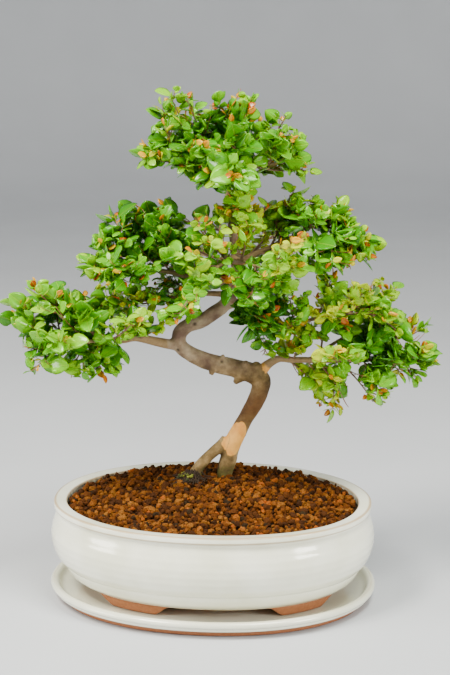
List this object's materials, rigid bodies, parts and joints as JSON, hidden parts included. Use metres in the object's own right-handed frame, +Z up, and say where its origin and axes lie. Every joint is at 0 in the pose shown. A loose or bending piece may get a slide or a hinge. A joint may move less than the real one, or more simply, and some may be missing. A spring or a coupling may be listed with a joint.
{
  "type": "chinese sweet plum bonsai in an oval pot",
  "caption": "Small trained broadleaf tree with a twisted trunk and leafy clouds, growing in grit in a footed oval ceramic pot that stands in its drip tray.",
  "frame": {"origin": "middle of the flat underside of the drip tray", "axes": "+Z up; X along the pot's long side, Y across it; the pot's front and the tree's front face -Y"},
  "size_m": [0.3752, 0.2192, 0.4395],
  "materials": {
    "pot_glaze": "glossy cream glaze over buff clay, thin and browner on the rim's edges",
    "tray_glaze": "glossy cream glaze, bare terracotta foot band",
    "mesh": "dull extruded plastic",
    "grit": "dry porous red-brown volcanic grit",
    "bark": "smooth grey-brown bark that flakes to a tan under-bark",
    "leaf": "half-glossy thin green leaves, young ones yellow-green to coppery"
  },
  "bodies": {
    "root": {"drip_tray": "tray_glaze", "pot": "pot_glaze", "drain_mesh_1": "mesh", "drain_mesh_2": "mesh", "soil": "grit", "tree": "bark", "spray_apex_1": "leaf", "spray_apex_2": "leaf", "spray_apex_3": "leaf", "spray_apex_4": "leaf", "spray_apex_5": "leaf", "spray_apex_6": "leaf", "spray_apex_7": "leaf", "spray_apex_8": "leaf", "spray_apex_9": "leaf", "spray_apex_10": "leaf", "spray_upper_left_1": "leaf", "spray_upper_left_2": "leaf", "spray_upper_left_3": "leaf", "spray_upper_left_4": "leaf", "spray_upper_left_5": "leaf", "spray_upper_left_6": "leaf", "spray_upper_left_7": "leaf", "spray_upper_left_8": "leaf", "spray_upper_right_1": "leaf", "spray_upper_right_2": "leaf", "spray_upper_right_3": "leaf", "spray_upper_right_4": "leaf", "spray_upper_right_5": "leaf", "spray_upper_right_6": "leaf", "spray_upper_right_7": "leaf", "spray_upper_right_8": "leaf", "spray_upper_right_9": "leaf", "spray_lower_left_1": "leaf", "spray_lower_left_2": "leaf", "spray_lower_left_3": "leaf", "spray_lower_left_4": "leaf", "spray_lower_left_5": "leaf", "spray_lower_left_6": "leaf", "spray_lower_left_7": "leaf", "spray_lower_left_8": "leaf", "spray_lower_left_9": "leaf", "spray_lower_right_1": "leaf", "spray_lower_right_2": "leaf", "spray_lower_right_3": "leaf", "spray_lower_right_4": "leaf", "spray_lower_right_5": "leaf", "spray_lower_right_6": "leaf", "spray_lower_right_7": "leaf", "spray_lower_right_8": "leaf", "spray_lower_right_9": "leaf", "spray_middle_1": "leaf", "spray_middle_2": "leaf", "spray_middle_3": "leaf", "spray_middle_4": "leaf", "spray_middle_5": "leaf", "spray_middle_6": "leaf", "spray_middle_7": "leaf", "spray_middle_8": "leaf", "spray_middle_9": "leaf"}
  },
  "joints": []
}
